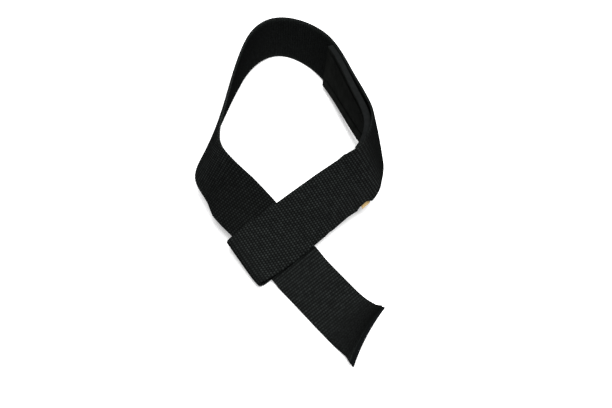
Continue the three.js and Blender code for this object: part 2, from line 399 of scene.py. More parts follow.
def webbing_material(props):
    """Ribbed cotton and nylon webbing, woven black on a narrow loom. The thick weft lies in ribs across the
    strap, and the warp goes over it in short knuckles, half a step over from one rib to the next. It is matt.
    The knuckles are painted lighter, partly a faint grey nap and partly a painted highlight, and the furrows
    are painted darker with painted shade."""
    material, tree = start_material("Woven black webbing")
    flat = add(tree, "ShaderNodeUVMap", uv_map="weave")
    # The map holds metres along and round the strap, which this turns to ribs and knuckles
    counts = (rib_count(props) / (COURSE.cut_length * MM), 1 / props.knuckle_pitch, 0)
    counted = add(tree, "ShaderNodeVectorMath", (flat, counts), operation="MULTIPLY")
    place = add(tree, "ShaderNodeSeparateXYZ", (counted,))
    rib, column = place.outputs[0], place.outputs[1]
    # Each of these is a wave from 0 to half and back. The knuckles of one rib lie between those of the next.
    hump = add(tree, "ShaderNodeMath", (rib, 0.5), operation="PINGPONG")
    number = add(tree, "ShaderNodeMath", (rib,), operation="FLOOR")
    step = add(tree, "ShaderNodeMath", (number, 0.5, column), operation="MULTIPLY_ADD")
    knuckle = add(tree, "ShaderNodeMath", (step, 0.5), operation="PINGPONG")
    # On the tail the knuckles are flattened, so its ribs look plainer
    knuckled = add(tree, "ShaderNodeAttribute", attribute_name="knuckled").outputs["Fac"]
    knuckle = add(tree, "ShaderNodeMix", {0: knuckled, 2: 0.3, 3: knuckle})
    bead = add(tree, "ShaderNodeMath", (hump, knuckle), operation="MULTIPLY")
    raised = add(tree, "ShaderNodeMapRange", (bead, -0.03, 0.22, 0, 1), interpolation_type="SMOOTHSTEP")
    # No two knuckles have quite the same tension and nap
    turn = add(tree, "ShaderNodeMath", (step,), operation="FLOOR")
    knot = add(tree, "ShaderNodeCombineXYZ", (number, turn, 0))
    chance = add(tree, "ShaderNodeTexWhiteNoise", {"Vector": knot}, noise_dimensions="2D")
    uneven = add(tree, "ShaderNodeMapRange", (chance, 0, 1, 0.5, 1))
    ribbing = add(tree, "ShaderNodeAttribute", attribute_name="ribbing").outputs["Fac"]
    melted = add(tree, "ShaderNodeAttribute", attribute_name="melted").outputs["Fac"]
    nap = add(tree, "ShaderNodeAttribute", attribute_name="nap").outputs["Fac"]
    body = add(tree, "ShaderNodeTexCoord").outputs["Object"]
    # Handling has rubbed the nap in patches of a centimetre. Its fibres are drawn as tufts, 26 in 10 mm,
    # because real ones are too fine to show.
    rubbed = add(tree, "ShaderNodeTexNoise", {"Vector": body, "Scale": per_metre(10), "Detail": 3})
    fibres = add(tree, "ShaderNodeTexNoise", {"Vector": body, "Scale": per_metre(10 / 26), "Detail": 2})
    wear = add(tree, "ShaderNodeMapRange", (rubbed, 0.3, 0.7, 0.88, 1))
    # Where the ribs are pressed smooth, the light and dark of the weave come down to a felted speckle
    felt = add(tree, "ShaderNodeTexNoise", {"Vector": body, "Scale": per_metre(10 / 9), "Detail": 1})
    felt = add(tree, "ShaderNodeMapRange", (felt, 0.35, 0.65, 0.1, 0.45))
    knots = add(tree, "ShaderNodeMath", (raised, uneven), operation="MULTIPLY")
    lit = add(tree, "ShaderNodeMix", {0: ribbing, 2: felt, 3: knots})
    lit = add(tree, "ShaderNodeMath", (lit, wear), operation="MULTIPLY")
    # The nap attribute darkens and lightens the knuckles: their real nap, with painted shade along the strap,
    # painted light at the selvedges and a painted highlight on the bead
    lit = add(tree, "ShaderNodeMath", (lit, nap), operation="MULTIPLY")
    # The furrows are painted darker, a painted shade, and the knuckles lighter, their grey nap with a painted
    # highlight
    yarn = {0: lit, 6: props.furrow, 7: props.knuckle}
    yarn = add(tree, "ShaderNodeMix", yarn, data_type="RGBA").outputs[2]
    fuzz = add(tree, "ShaderNodeMapRange", (fibres, 0.5, 0.8, 0, 0.35))
    fuzz = add(tree, "ShaderNodeMath", (fuzz, lit), operation="MULTIPLY")
    yarn = {0: fuzz, 6: yarn, 7: props.nap}
    yarn = add(tree, "ShaderNodeMix", yarn, data_type="RGBA").outputs[2]
    yarn = {0: melted, 6: yarn, 7: props.melted_end}
    yarn = add(tree, "ShaderNodeMix", yarn, data_type="RGBA").outputs[2]
    rough = add(tree, "ShaderNodeMapRange", (melted, 0, 1, 0.88, 0.6))
    relief = add(tree, "ShaderNodeMath", (fibres, 0.25, raised), operation="MULTIPLY_ADD")
    relief = add(tree, "ShaderNodeMath", (relief, ribbing), operation="MULTIPLY")
    bump = add(tree, "ShaderNodeBump", {"Strength": 1, "Distance": 0.22 * MM, "Height": relief})
    finish = {"Base Color": yarn, "Roughness": rough, "Normal": bump, "Specular IOR Level": 0}
    shader = add(tree, "ShaderNodeBsdfPrincipled", finish)
    add(tree, "ShaderNodeOutputMaterial", (shader,))
    return material


def pad_cloth_material(props):
    """Black nylon jersey bonded to the foam, knitted fine. It has a soft, even, matt face, and a little dust
    in patches."""
    material, tree = start_material("Bonded black jersey")
    flat = add(tree, "ShaderNodeUVMap", uv_map="cut")
    # Loops of the knit are 0.9 mm apart, twice the real ones, which would be too fine to show
    counts = (per_metre(0.9), per_metre(0.9), 0)
    counted = add(tree, "ShaderNodeVectorMath", (flat, counts), operation="MULTIPLY")
    place = add(tree, "ShaderNodeSeparateXYZ", (counted,))
    course = add(tree, "ShaderNodeMath", (place.outputs[0], 0.5), operation="PINGPONG")
    wale = add(tree, "ShaderNodeMath", (place.outputs[1], 0.5), operation="PINGPONG")
    loops = add(tree, "ShaderNodeMath", (course, wale), operation="MULTIPLY")
    body = add(tree, "ShaderNodeTexCoord").outputs["Object"]
    dust = {"Vector": body, "Scale": per_metre(6.25), "Detail": 4, "Roughness": 0.6}
    patch = add(tree, "ShaderNodeTexNoise", dust)
    tone = add(tree, "ShaderNodeMath", (loops, 1.2, patch), operation="MULTIPLY_ADD")
    tone = add(tree, "ShaderNodeMapRange", (tone, 0.35, 0.9, 0, 1))
    cloth = {0: tone, 6: props.shade, 7: props.face}
    cloth = add(tree, "ShaderNodeMix", cloth, data_type="RGBA").outputs[2]
    # Painted shade at the bottom of the stitched grooves
    groove_shade = add(tree, "ShaderNodeAttribute", attribute_name="groove_shade").outputs["Fac"]
    cloth = {0: groove_shade, 6: cloth, 7: props.groove_shade}
    cloth = add(tree, "ShaderNodeMix", cloth, data_type="RGBA").outputs[2]
    bump = add(tree, "ShaderNodeBump", {"Strength": 1, "Distance": 0.15 * MM, "Height": loops})
    finish = {"Base Color": cloth, "Normal": bump, "Roughness": 0.92, "Specular IOR Level": 0}
    shader = add(tree, "ShaderNodeBsdfPrincipled", finish)
    add(tree, "ShaderNodeOutputMaterial", (shader,))
    return material


def foam_material(props):
    """Closed-cell rubber foam, cut with a blade. The cells that the cut has opened, about half a millimetre
    across, make its edge rough and matt, and their hollows are painted darker, a painted shade."""
    material, tree = start_material("Cut cell foam")
    body = add(tree, "ShaderNodeTexCoord").outputs["Object"]
    cells = add(tree, "ShaderNodeTexVoronoi", {"Vector": body, "Scale": per_metre(10 / 22)})
    patch = add(tree, "ShaderNodeTexNoise", {"Vector": body, "Scale": per_metre(10 / 2.6), "Detail": 3})
    tone = add(tree, "ShaderNodeMath", (cells, 0.5, patch), operation="MULTIPLY_ADD")
    tone = add(tree, "ShaderNodeMapRange", (tone, 0.4, 1, 0, 1))
    # The hollows of the cells take the darker colour, a painted shade
    foam = {0: tone, 6: props.cell, 7: props.foam}
    foam = add(tree, "ShaderNodeMix", foam, data_type="RGBA").outputs[2]
    bump = add(tree, "ShaderNodeBump", {"Strength": 0.8, "Distance": 0.12 * MM, "Height": cells})
    finish = {"Base Color": foam, "Normal": bump, "Roughness": 0.95, "Specular IOR Level": 0}
    shader = add(tree, "ShaderNodeBsdfPrincipled", finish)
    add(tree, "ShaderNodeOutputMaterial", (shader,))
    return material


def thread_material(props):
    """Bonded polyester sewing thread, twisted from three plies and pulled tight. It is smoother than the
    webbing, and hardly shines."""
    material, tree = start_material("Bonded black thread")
    body = add(tree, "ShaderNodeTexCoord").outputs["Object"]
    # Coarser than real plies, which wouldn't show
    ply = add(tree, "ShaderNodeTexNoise", {"Vector": body, "Scale": per_metre(1 / 3), "Detail": 1})
    tone = {0: ply, 6: props.twist, 7: props.thread}
    tone = add(tree, "ShaderNodeMix", tone, data_type="RGBA").outputs[2]
    bump = add(tree, "ShaderNodeBump", {"Strength": 0.6, "Distance": 0.05 * MM, "Height": ply})
    finish = {"Base Color": tone, "Normal": bump, "Roughness": 0.6, "Specular IOR Level": 0.02}
    shader = add(tree, "ShaderNodeBsdfPrincipled", finish)
    add(tree, "ShaderNodeOutputMaterial", (shader,))
    return material


def tape_material(props):
    """Undyed cotton tape in plain weave, tan and matt, with a thread every 0.5 mm."""
    material, tree = start_material("Undyed cotton tape")
    flat = add(tree, "ShaderNodeUVMap", uv_map="cut")
    counts = (per_metre(0.5), per_metre(0.5), 0)
    counted = add(tree, "ShaderNodeVectorMath", (flat, counts), operation="MULTIPLY")
    place = add(tree, "ShaderNodeSeparateXYZ", (counted,))
    warp = add(tree, "ShaderNodeMath", (place.outputs[0], 0.5), operation="PINGPONG")
    weft = add(tree, "ShaderNodeMath", (place.outputs[1], 0.5), operation="PINGPONG")
    weave = add(tree, "ShaderNodeMath", (warp, weft), operation="MULTIPLY")
    crossed = add(tree, "ShaderNodeMapRange", (weave, 0, 0.2, 0, 1))
    cloth = {0: crossed, 6: props.shade, 7: props.tape}
    cloth = add(tree, "ShaderNodeMix", cloth, data_type="RGBA").outputs[2]
    bump = add(tree, "ShaderNodeBump", {"Strength": 1, "Distance": 0.4 * MM, "Height": weave})
    finish = {"Base Color": cloth, "Normal": bump, "Roughness": 0.85, "Specular IOR Level": 0.3}
    shader = add(tree, "ShaderNodeBsdfPrincipled", finish)
    add(tree, "ShaderNodeOutputMaterial", (shader,))
    return material


def floor_material(props):
    """The top of a light table: matt white acrylic, lit faintly from below, so that hardly a shadow shows."""
    material, tree = start_material("Matt white acrylic")
    body = add(tree, "ShaderNodeTexCoord").outputs["Object"]
    # The real grain is too fine to show
    grain = add(tree, "ShaderNodeTexNoise", {"Vector": body, "Scale": per_metre(10 / 9), "Detail": 2})
    bump = add(tree, "ShaderNodeBump", {"Strength": 0.2, "Distance": 0.02 * MM, "Height": grain})
    finish = {"Base Color": props.floor, "Roughness": 0.9, "Normal": bump}
    finish |= {"Emission Color": props.floor, "Emission Strength": props.glow}
    shader = add(tree, "ShaderNodeBsdfPrincipled", finish)
    add(tree, "ShaderNodeOutputMaterial", (shader,))
    return material


# Sizes and colours that a user may change


def length(name, description, default):
    return FloatProperty(
        name=name, description=description, default=default * MM, min=0, precision=5, unit="LENGTH"
    )


def colour(name, description, code):
    return FloatVectorProperty(
        name=name, description=description, default=linear(code), size=4, min=0, max=1, subtype="COLOR"
    )


class WebbingProperties(bpy.types.PropertyGroup):
    columns: IntProperty(
        name="Columns", description="Faces across one face of the strap", default=24, min=8, max=60
    )
    rib_pitch: length("Rib pitch", "From one rib of the weave to the next along the strap", 2.02)
    knuckle_pitch: length("Knuckle pitch", "From one warp knuckle to the next in a rib", 1.65)
    rib_relief: length("Rib relief", "Height of a rib over the furrow beside it", 0.2)
    selvedge_round: length("Selvedge rounding", "Width of the rounded selvedge", 1)
    seam_pull: length("Seam pull", "How deep a row of stitches pulls the webbing in", 0.35)
    # The furrow colour is painted shade, and the knuckle colour is the knuckles' grey nap with a painted
    # highlight
    furrow: colour("Furrow", "Webbing in the furrows between the ribs", "#060606")
    knuckle: colour("Knuckle", "Webbing on top of the knuckles", "#232625")
    nap: colour("Nap", "Loose fibres on the webbing", "#525554")
    melted_end: colour("Melted end", "Webbing where its end was cut with heat", "#0d0e0f")


class PadProperties(bpy.types.PropertyGroup):
    groove_depth: length("Groove depth", "How deep a row of stitches pulls the pad in", 1.3)
    groove_width: length("Groove width", "Half the width of the groove at a row of stitches", 1.4)
    face: colour("Face", "Cloth on the pad", "#191a19")
    shade: colour("Shade", "Cloth on the pad where it is darkest", "#0f100f")
    # Painted shade in the stitched grooves
    groove_shade: colour("Crease", "Cloth at the bottom of the stitched grooves", "#060606")
    foam: colour("Foam", "Cut edge of the foam", "#151616")
    # Painted shade in the hollows of the foam's cells
    cell: colour("Cell", "Inside of the foam's cells", "#0d0e0e")


class ThreadProperties(bpy.types.PropertyGroup):
    thickness: length("Thickness", "Thickness of the sewing thread", 0.5)
    stitch: length("Stitch", "Length of a stitch", 2.8)
    gap: length("Gap", "Gap from one stitch to the next", 0.5)
    thread: colour("Thread", "Sewing thread", "#1d1f20")
    twist: colour("Twist", "Sewing thread between its plies", "#0a0b0b")


class TabProperties(bpy.types.PropertyGroup):
    tape: colour("Tape", "Threads of the tab", "#d2b784")
    shade: colour("Shade", "Gaps between the threads of the tab", "#8d7347")


class StageProperties(bpy.types.PropertyGroup):
    distance: FloatProperty(
        name="Distance", description="From the camera to its aim", default=0.48, unit="LENGTH"
    )
    elevation: FloatProperty(
        name="Elevation", description="Camera above the horizon", default=math.radians(58), subtype="ANGLE"
    )
    lens: FloatProperty(name="Lens", description="Focal length of the camera", default=42.7, unit="CAMERA")
    floor: colour("Floor", "Table that the strap lies on", "#d9d9d9")
    glow: FloatProperty(name="Glow", description="Light from inside the table", default=0.6, min=0)


# Stretches of the webbing, by distance from its free end, where use or bending has pressed the ribs and their
# knuckles smooth, and where it is painted darker. ribs, knuckles and nap are the shares left. On the tail the
# lower nap is nap that use has left less of; on the free end, the leg, the inside of the loop, the right turn
# and the fold it is painted shade, where less light falls. face is 1 for the outside of the loop, -1 for its
# inside, and 0 for both.
Stretch = namedtuple("Stretch", "start end fade ribs knuckles nap face")
HANDLED_AND_SHADED = {
    "free end": Stretch(0, 16, 22, 0.4, 1, 0.6, 0),
    "tail": Stretch(0, 85, 20, 0.9, 0.55, 0.85, 0),
    "leg": Stretch(95, 150, 18, 1, 1, 0.55, 1),
    "inside of the loop": Stretch(230, 470, 30, 0.35, 1, 0.5, -1),
    "right turn": Stretch(425, 468, 14, 0.4, 1, 0.35, 1),
    "fold": Stretch(COURSE.length, COURSE.length + COURSE.fold_length, 4, 0.8, 1, 0.8, 0),
}

# How far each selvedge stands out past the solid's in millimetres, by distance from the free end. The
# webbing is stretched a little wider where it is bent, and the corners of its free end are splayed.
Selvedge = namedtuple("Selvedge", "run upper lower")
SELVEDGES = (
    Selvedge(0, 1, 0.3),
    Selvedge(6, 1.1, 0),
    Selvedge(12, 2.3, 0.2),
    Selvedge(18, 0.8, 0.4),
    Selvedge(36, 0.4, 0.5),
    Selvedge(60, 0.6, 0.4),
    Selvedge(72, 0.9, 0.6),
    Selvedge(82, 0, -0.2),
    Selvedge(108, 0, -0.5),
    Selvedge(120, 0.6, -1),
    Selvedge(138, 1.1, 1.5),
    Selvedge(148, 0.9, 0.1),
    Selvedge(172, 1.2, 2),
    Selvedge(184, 2.1, 2),
    Selvedge(262, 2.2, 2.6),
    Selvedge(276, 1.8, 1.2),
    Selvedge(294, 0.8, 0.3),
    Selvedge(314, 0.9, 0.3),
    Selvedge(342, 0.8, 0.3),
    Selvedge(360, 1.4, 0.6),
    Selvedge(400, 1.6, 1.2),
    Selvedge(420, 2.3, 1.6),
    Selvedge(444, 2.4, 1.9),
    Selvedge(474, 2.3, 1.4),
    Selvedge(484, 2.4, 1.8),
    Selvedge(490, 1.4, 3),
    Selvedge(493, 1.1, 0),
    Selvedge(499, 0.9, 0.4),
    Selvedge(502, 0.8, 1.5),
    Selvedge(507, 0.8, 0.7),
    Selvedge(514, 0.8, 0),
    Selvedge(520, 0.7, -0.2),
    Selvedge(530, 0.7, 0.5),
    Selvedge(540, 0.5, 0.3),
    Selvedge(572, 0, 0),
    Selvedge(581, -0.4, -0.9),
    Selvedge(592, 0, 0),
)

# Rows of stitches. Those across the sewn part are at a distance back from the fold, and those along the pad
# at distances up from the strap's middle, at the pad's far end and at its near one.
Seam = namedtuple("Seam", "far near")
SEAMS_ACROSS = {"eye seam": 59.5, "raw end seam": 86.5}
SEAMS_ALONG = {"lower pad seam": Seam(-10.6, -6), "upper pad seam": Seam(13.6, 13.6)}
SEAM_INSET = 2.5
SEAM_REACH = 15.5

# How far the pad's two long edges stand out past its nominal width in millimetres, by distance from its
# far end. It is sewn on slightly askew.
PadEdge = namedtuple("PadEdge", "from_far upper lower")
PAD_EDGES = (
    PadEdge(0, 1.3, 0.8),
    PadEdge(14, 1.5, 0.5),
    PadEdge(26, 1.2, 0.2),
    PadEdge(36, 0.8, 0.1),
    PadEdge(44, 0.4, 0.2),
    PadEdge(54, 0.1, 1),
    PadEdge(62, 0, 2),
    PadEdge(80, 0, 2),
    PadEdge(112, 0, 0),
)
# The cloth pad lies closer to the webbing than its solid does, apart from where it is bent most
PAD_CLEARANCE = 0.1
PAD_BEND = 86
PAD_BEND_WIDTH = 24
PAD_STAND_OFF = 0.5

# The tab leans towards the eye, more the further it stands out, and the lean draws it out by a share
TAB_LEAN = 2.4
TAB_DRAWN_OUT = 0.3

PAD_NEAR = COURSE.raw_end - PAD_TO_RAW_END
PAD_FAR = PAD_NEAR - PAD_LENGTH
PAD_SIDE = STRAP_WIDTH / 2 - PAD_MARGIN


def hollow(distance, width):
    """A smooth dip, 1 at no distance and gone past about twice the width."""
    return np.exp(-((distance / width) ** 2))


def on_face(facing, face):
    """1 where the webbing faces the side that is meant, 0 on the other, and between them at a selvedge."""
    return smoothstep(facing * face, -0.5, 0.5)


def edge_shift(table, at, upper_side):
    """How far an edge stands out past its nominal place, from a table of the upper and the lower one."""
    rows = np.array(table)
    upper = np.interp(at, rows[:, 0], rows[:, 1])
    lower = np.interp(at, rows[:, 0], rows[:, 2])
    return np.where(upper_side, upper, lower)


# Pieces


class STRAP_OT_set_camera(bpy.types.Operator):
    """Set the camera above and in front of the strap"""

    bl_idname = "strap.set_camera"
    bl_label = "Set the camera"

    # From the strap's crossing to the point that the camera aims at
    AIM = (21.7, 22.5, 24.0)

    def execute(self, context):
        props = context.scene.strap_stage
        drop_old("camera")
        aim = (Vector(CROSSING) + Vector(self.AIM)) * MM
        back = Vector((0, -math.cos(props.elevation), math.sin(props.elevation)))
        lens = bpy.data.cameras.new("camera")
        lens.lens = props.lens
        lens.sensor_width = 36
        lens.clip_start, lens.clip_end = 0.01, 20
        camera = bpy.data.objects.new("camera", lens)
        camera.location = aim + back * props.distance
        camera.rotation_euler = (math.radians(90) - props.elevation, 0, 0)
        context.scene.collection.objects.link(camera)
        context.scene.camera = camera
        return {"FINISHED"}


class STRAP_OT_weave_webbing(bpy.types.Operator):
    """Weave the strap's webbing flat, rib by rib, and lay it along its course"""

    bl_idname = "strap.weave_webbing"
    bl_label = "Weave the webbing"

    SELVEDGE_STEPS = 4
    RIB_STEPS = 4
    # A rib is a half sine wave raised to this power, and so a little fuller
    RIB_FULLNESS = 0.8
    # The furrows are shallow at the selvedges, where the weft turns back
    SELVEDGE_RELIEF = 0.4
    # On the inside face the webbing is painted lighter near the selvedges, a painted light: places across the
    # strap over which that begins, and how much lighter
    SELVEDGE_LIGHT_SPAN = (15.5, 18)
    SELVEDGE_PAINTED_LIGHT = 1.3
    # Distances from a cut end over which its melted glaze ends, and its ribs begin
    GLAZE_ENDS = (1, 2.8)
    RIBS_BEGIN = (0.6, 4)
    # The heat has thinned the end to a lip, and raised a low bead behind it, which at the free end is painted
    # lighter, a painted highlight on its ridge
    LIP_LENGTH = 1.5
    LIP_THINNED = 0.4
    BEAD_AT = 3.3
    BEAD_WIDTH = 1.2
    BEAD_HEIGHT = 0.15
    BEAD_HIGHLIGHT = 1.2
    BEAD_HIGHLIGHT_WIDTH = 1
    # The free end reaches out past a straight cut: in its middle, how much less at its upper corner and more
    # at its lower one, and the length that takes part
    END_REACH = 1.1
    END_SKEW = 0.5
    END_LENGTH = 6
    # A row of stitches pulls the webbing in over this width, and past its ends over this length
    PULL_WIDTH = 1.3
    PULL_FADE = 2.5
    # The right turn swells outwards: the distance from the free end, how far, and the width of the swelling
    SWELL_AT = 450
    SWELL = 0.7
    SWELL_WIDTH = 32

    def execute(self, context):
        props = context.scene.strap_webbing
        drop_old("webbing")
        aside, lift, facing_aside, facing_lift = self.profile(props)
        around = len(aside)
        closed = np.stack([np.append(aside, aside[0]), np.append(lift, lift[0])], 1)
        girth = np.concatenate([[0], np.cumsum(np.linalg.norm(np.diff(closed, axis=0), axis=1))])

        bm = bmesh.new()
        uv = bm.loops.layers.uv.new("weave")
        ribbing_layer = bm.verts.layers.float.new("ribbing")
        melted_layer = bm.verts.layers.float.new("melted")
        nap_and_painted_light_layer = bm.verts.layers.float.new("nap")
        knuckled_layer = bm.verts.layers.float.new("knuckled")
        ribs = rib_count(props)
        steps = self.RIB_STEPS * ribs
        bmesh.ops.create_grid(bm, x_segments=steps, y_segments=around, size=0.5, calc_uvs=True)
        flat = vertex_array(bm) + 0.5
        run = flat[:, 0] * COURSE.cut_length
        step = np.rint(flat[:, 1] * around).astype(int) % around
        ribbing, knuckled, nap = self.handling_and_shade(run, aside[step], facing_lift[step])
        melted = 1 - smoothstep(COURSE.from_end(run), *self.GLAZE_ENDS)
        hump = np.sin(np.pi * (flat[:, 0] * ribs % 1)) ** self.RIB_FULLNESS
        sunk = props.rib_relief / MM * ribbing * (1 - hump) + self.pulled_in(run, aside[step], props)
        thick = self.melted_bead(run)
        share = aside[step] / (STRAP_WIDTH / 2)
        across = aside[step] - facing_aside[step] * sunk * self.SELVEDGE_RELIEF + self.spread(run, share)
        through = (lift[step] - facing_lift[step] * sunk) * thick
        run = run - self.slant(run, share)
        swell = self.SWELL * hollow(run - self.SWELL_AT, self.SWELL_WIDTH)
        through = through + swell * (1 - share**2).clip(0)
        place_vertices(bm, COURSE.lay(run, across, through) * MM)
        for vertex, rib, knots, melt, nap_and_painted_light in zip(bm.verts, ribbing, knuckled, melted, nap):
            vertex[ribbing_layer] = rib
            vertex[knuckled_layer] = knots
            vertex[melted_layer] = melt
            vertex[nap_and_painted_light_layer] = nap_and_painted_light
        for face in bm.faces:
            for loop in face.loops:
                u, v = loop[uv].uv
                loop[uv].uv = (u * COURSE.cut_length * MM, girth[round(v * around)] * MM)
        bmesh.ops.remove_doubles(bm, verts=bm.verts, dist=1e-7)
        rims = [edge for edge in bm.edges if edge.is_boundary]
        caps = bmesh.ops.holes_fill(bm, edges=rims, sides=around + 2)["faces"]
        for cap in caps:
            for vertex in cap.verts:
                vertex[melted_layer] = 1
        piece = finished(bm, "webbing", [webbing_material(props)])
        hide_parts("strap_webbing")
        return {"FINISHED"}

    def profile(self, props):
        """The strap's section, once round: places across and through it, and the way that each one faces."""
        deep, curve = STRAP_THICK / 2, props.selvedge_round / MM
        flat_side = STRAP_WIDTH / 2 - curve
        face = np.linspace(-flat_side, flat_side, props.columns + 1)
        turn = np.linspace(0, math.pi, self.SELVEDGE_STEPS + 2)[1:-1]
        level_face, bent, raised = np.zeros_like(face), np.sin(turn), np.cos(turn)
        aside = [face, flat_side + curve * bent, face[::-1], -flat_side - curve * bent[::-1]]
        lift = [level_face + deep, deep * raised, level_face - deep, deep * raised[::-1]]
        facing_aside = [level_face, bent, level_face, -bent]
        facing_lift = [level_face + 1, raised, level_face - 1, raised[::-1]]
        return [np.concatenate(part) for part in (aside, lift, facing_aside, facing_lift)]

    def handling_and_shade(self, run, aside, facing):
        """How strongly the ribs and their knuckles stand out, and how light they are painted: the pale nap
        left on them, painted shade along the strap, painted light at the selvedges on the inside, and a
        painted highlight on the bead.
        """
        ribbing = smoothstep(COURSE.from_end(run), *self.RIBS_BEGIN)
        knuckled = np.ones_like(run)
        # Painted highlight on the bead at the free end
        nap = 1 + self.BEAD_HIGHLIGHT * hollow(run - self.BEAD_AT, self.BEAD_HIGHLIGHT_WIDTH)
        # Painted shade on the stretches where the table lowers the nap, save the tail's own rubbed nap
        for place in HANDLED_AND_SHADED.values():
            there = smoothstep(run, place.start - place.fade, place.start)
            there = there * (1 - smoothstep(run, place.end, place.end + place.fade))
            there = there * on_face(facing, place.face) if place.face else there
            ribbing = ribbing * (1 - (1 - place.ribs) * there)
            knuckled = knuckled * (1 - (1 - place.knuckles) * there)
            nap = nap * (1 - (1 - place.nap) * there)
        # Painted light on the inside face near the selvedges
        edge = smoothstep(np.abs(aside), *self.SELVEDGE_LIGHT_SPAN)
        nap = nap * (1 + self.SELVEDGE_PAINTED_LIGHT * edge * on_face(facing, -1))
        return ribbing, knuckled, nap

    def spread(self, run, share):
        """How far a place moves out across the strap, at a share of its half width."""
        return share * (edge_spread(run) + edge_shift(SELVEDGES, run, share > 0))

    def slant(self, run, share):
        """How far the free end reaches out past its straight cut, most at its lower corner."""
        return (self.END_REACH - self.END_SKEW * share) * (1 - smoothstep(run, 0, self.END_LENGTH))

    def pulled_in(self, run, aside, props):
        """How deep the rows of stitches across the sewn part pull the two layers in."""
        within = 1 - smoothstep(np.abs(aside), SEAM_REACH, SEAM_REACH + self.PULL_FADE)
        dips = sum(hollow(COURSE.back(run) - at, self.PULL_WIDTH) for at in SEAMS_ACROSS.values())
        return props.seam_pull / MM * dips * within

    def melted_bead(self, run):
        """The thickness near a cut end, as a share: a rounded lip, and a low bead behind it."""
        from_end = COURSE.from_end(run)
        lip = self.LIP_THINNED * (1 - smoothstep(from_end, 0, self.LIP_LENGTH))
        return 1 - lip + self.BEAD_HEIGHT * hollow(from_end - self.BEAD_AT, self.BEAD_WIDTH)


class STRAP_OT_sew_pad(bpy.types.Operator):
    """Cut the wrist pad from foam with cloth on it, quilt it along its seams, and lay it in the loop"""

    bl_idname = "strap.sew_pad"
    bl_label = "Cut and sew the pad"

    CELLS = (150, 72)
    RIM = 0.35
    # The cut foam bulges at its side, for which the side takes some rows of vertices, at shares of its height
    SIDE_ROWS = (0.3, 0.5, 0.7)
    BULGE = 0.25
    BULGE_WIDTH = 1.5
    # Faces that are steeper than this are cut foam, and the others cloth
    STEEP = 0.6
    # The grooves are painted with shade, more towards the near end, where the pad is bent: at the far end,
    # how much more at the near one, and the places between which it changes
    GROOVE_SHADE = 0.25
    GROOVE_SHADE_MORE = 0.5
    GROOVE_SHADE_CHANGES = (5, 60)
    # The grooves begin over these distances from the ends, and are less deep between stitches
    GROOVES_BEGIN = (0.5, 5)
    STITCH_STEP = 3.3
    STITCH_SHARE = 0.15
    # The face is rounded off at its edge, and has low waves along, across and askew
    ROUNDED = 0.3
    ROUNDED_WIDTH = 2
    WAVE = 0.08
    WAVE_ALONG = 7.3
    WAVE_ACROSS = 6.1
    WAVE_ASKEW = 19
    WAVE_START = 1.1

    def execute(self, context):
        props = context.scene.strap_pad
        drop_old("pad")
        bm = cut_out(PAD_LENGTH, 2 * PAD_SIDE, PAD_THICK, self.CELLS, self.RIM)
        low, high = min(v.co.z for v in bm.verts), max(v.co.z for v in bm.verts)
        for share in self.SIDE_ROWS:
            everything = bm.verts[:] + bm.edges[:] + bm.faces[:]
            cut = (0, 0, low + (high - low) * share)
            bmesh.ops.bisect_plane(bm, geom=everything, plane_co=cut, plane_no=(0, 0, 1), dist=1e-5)
        bm.normal_update()
        for face in bm.faces:
            face.material_index = 1 if abs(face.normal.z) < self.STEEP else 0
        map_cut(bm)
        flat = vertex_array(bm)
        from_far, aside = flat[:, 0] + PAD_LENGTH / 2, flat[:, 1]
        depth = (flat[:, 2] - low) / (high - low)
        edge = np.minimum(PAD_SIDE - np.abs(aside), np.minimum(from_far, PAD_LENGTH - from_far))
        depth_pressed = self.pressed(props, from_far, aside, edge)
        bulge = self.BULGE * (1 - (2 * depth - 1) ** 2) * (1 - smoothstep(edge, 0, self.BULGE_WIDTH))
        trimmed = aside / PAD_SIDE * edge_shift(PAD_EDGES, from_far, aside > 0)
        at_side = PAD_SIDE - np.abs(aside) < self.BULGE_WIDTH
        aside = aside + np.sign(aside) * bulge * at_side + trimmed
        off = PAD_STAND_OFF * hollow(from_far - PAD_BEND, PAD_BEND_WIDTH)
        thick = PAD_THICK + SEAM_GAP - PAD_CLEARANCE + off - depth_pressed
        lift = -(STRAP_THICK / 2 + PAD_CLEARANCE + off) - depth * thick
        place_vertices(bm, COURSE.lay(PAD_FAR + from_far, aside, lift) * MM)
        # Painted shade in the grooves, more towards the bent near end
        darkened = self.GROOVE_SHADE + self.GROOVE_SHADE_MORE * smoothstep(from_far, *self.GROOVE_SHADE_CHANGES)
        groove_shading = np.where(depth > 0.9, self.grooves(props, from_far, aside) * darkened, 0)
        groove_shade_layer = bm.verts.layers.float.new("groove_shade")
        for vertex, groove_shade in zip(bm.verts, groove_shading):
            vertex[groove_shade_layer] = groove_shade
        piece = finished(bm, "pad", [pad_cloth_material(props), foam_material(props)])
        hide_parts("wrist_pad")
        return {"FINISHED"}

    def pressed(self, props, from_far, aside, edge):
        """How far the pad's face lies below its full thickness."""
        grooves = self.grooves(props, from_far, aside)
        stitch = 1 - self.STITCH_SHARE + self.STITCH_SHARE * np.cos(2 * np.pi * from_far / self.STITCH_STEP)
        rounded = self.ROUNDED * (1 - smoothstep(edge, 0, self.ROUNDED_WIDTH))
        waves = self.WAVE * np.sin(from_far / self.WAVE_ALONG + self.WAVE_START)
        waves = waves * np.sin(aside / self.WAVE_ACROSS + from_far / self.WAVE_ASKEW)
        return props.groove_depth / MM * grooves * stitch + rounded + self.WAVE + waves

    def grooves(self, props, from_far, aside):
        """The rows of stitches as grooves, 1 at their bottom."""
        ends = smoothstep(np.minimum(from_far, PAD_LENGTH - from_far), *self.GROOVES_BEGIN)
        width = props.groove_width / MM
        along = from_far / PAD_LENGTH
        rows = [seam.far + (seam.near - seam.far) * along for seam in SEAMS_ALONG.values()]
        return ends * sum(hollow(aside - at, width) for at in rows)


